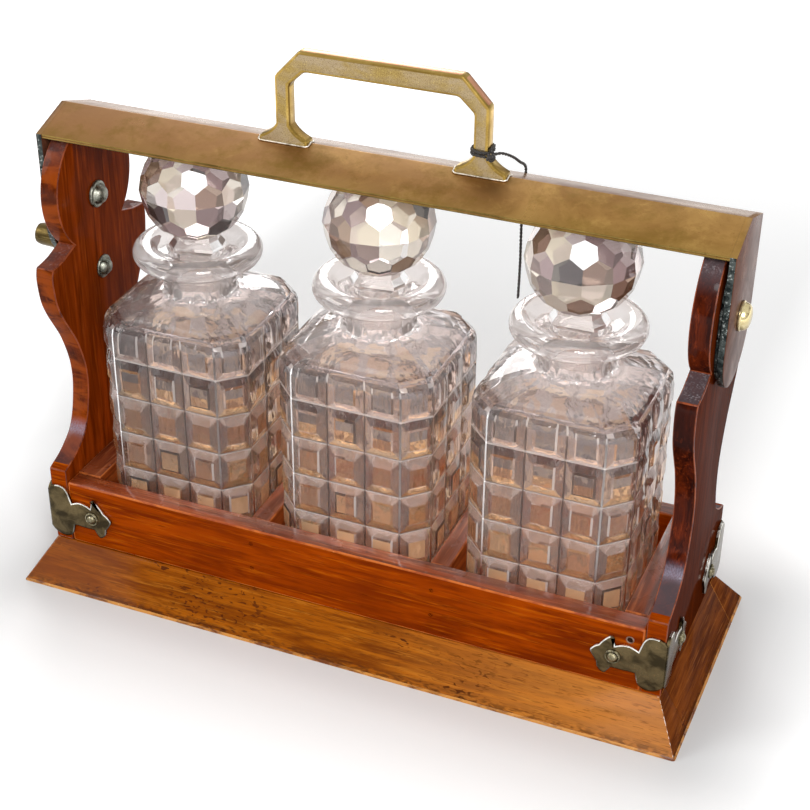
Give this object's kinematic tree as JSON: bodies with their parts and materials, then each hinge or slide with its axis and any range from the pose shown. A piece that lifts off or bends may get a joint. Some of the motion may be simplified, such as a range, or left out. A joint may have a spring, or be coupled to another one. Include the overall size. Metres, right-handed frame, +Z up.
{
  "type": "carafe stand",
  "caption": "Wooden tray on a sloping plinth, with a gabled brass bar and carry handle that swings over the stoppers of its square cut-glass carafes and locks.",
  "frame": {"origin": "On the table under the middle of the plinth.", "axes": "+X runs along the stand to the right as seen from its front, +Y to its back, +Z up."},
  "size_m": [0.3735, 0.1428, 0.3016],
  "materials": {
    "mahogany": "French-polished red-brown mahogany",
    "oak": "polished golden-brown wood with dark flecks and worn arrises",
    "brass": "old brass with an olive-gold patina",
    "nickel": "dark worn nickel plate",
    "steel": "dark tarnished steel",
    "glass": "clear cut glass",
    "thread": "black twisted thread"
  },
  "bodies": {
    "stand": {"base_board": "oak", "plinth_front": "oak", "plinth_back": "oak", "plinth_left": "oak", "plinth_right": "oak", "rail_front": "mahogany", "rail_back": "mahogany", "upright_left": "mahogany", "upright_right": "mahogany", "divider_left": "mahogany", "divider_right": "mahogany", "end_strip_left": "mahogany", "end_strip_right": "mahogany", "peg_front_1": "mahogany", "peg_front_2": "mahogany", "peg_front_3": "mahogany", "peg_front_4": "mahogany", "peg_back_1": "mahogany", "peg_back_2": "mahogany", "peg_back_3": "mahogany", "peg_back_4": "mahogany", "corner_bracket_front_left": "nickel", "corner_bracket_front_right": "nickel", "corner_bracket_back_left": "nickel", "corner_bracket_back_right": "nickel", "bracket_pin_front_left_front": "nickel", "bracket_pin_front_left_side": "nickel", "bracket_pin_front_right_front": "nickel", "bracket_pin_front_right_side": "nickel", "bracket_pin_back_left_front": "nickel", "bracket_pin_back_left_side": "nickel", "bracket_pin_back_right_front": "nickel", "bracket_pin_back_right_side": "nickel", "pivot_bolt_left": "steel", "pivot_bolt_right": "steel", "pivot_knob_left": "steel", "pivot_knob_right": "steel", "pivot_plate_right": "steel", "pivot_washer_left": "steel", "keeper_bolt": "steel"},
    "swinging_bar": {"locking_bar": "brass", "arm_left": "brass", "arm_right": "brass", "carry_handle": "brass", "lock_barrel": "brass", "key_thread": "thread", "thread_knot": "thread"},
    "lock_plug": {"lock_core": "brass", "lock_tongue": "brass"},
    "carafe_left": {"decanter_left": "glass"},
    "carafe_middle": {"decanter_middle": "glass"},
    "carafe_right": {"decanter_right": "glass"},
    "plug_left": {"stopper_left": "glass"},
    "plug_middle": {"stopper_middle": "glass"},
    "plug_right": {"stopper_right": "glass"}
  },
  "joints": [
    {"name": "bar_swing", "type": "hinge", "parent": "stand", "child": "swinging_bar", "pos_m": [0, 0, 0.2075], "axis": [-1, 0, 0], "range_deg": [0, 86]},
    {"name": "lock_turn", "type": "hinge", "parent": "swinging_bar", "child": "lock_plug", "pos_m": [-0.17625, -0.014, 0.186], "axis": [1, 0, 0], "range_deg": [0, 75]},
    {"name": "carafe_left_lift", "type": "slide", "parent": "stand", "child": "carafe_left", "axis": [0, 0, 1], "range_m": [0, 0.0033]},
    {"name": "carafe_middle_lift", "type": "slide", "parent": "stand", "child": "carafe_middle", "axis": [0, 0, 1], "range_m": [0, 0.0033]},
    {"name": "carafe_right_lift", "type": "slide", "parent": "stand", "child": "carafe_right", "axis": [0, 0, 1], "range_m": [0, 0.0033]},
    {"name": "stopper_left_lift", "type": "slide", "parent": "carafe_left", "child": "plug_left", "axis": [0, 0, 1], "range_m": [0, 0.0033]},
    {"name": "stopper_middle_lift", "type": "slide", "parent": "carafe_middle", "child": "plug_middle", "axis": [0, 0, 1], "range_m": [0, 0.0033]},
    {"name": "stopper_right_lift", "type": "slide", "parent": "carafe_right", "child": "plug_right", "axis": [0, 0, 1], "range_m": [0, 0.0033]}
  ]
}
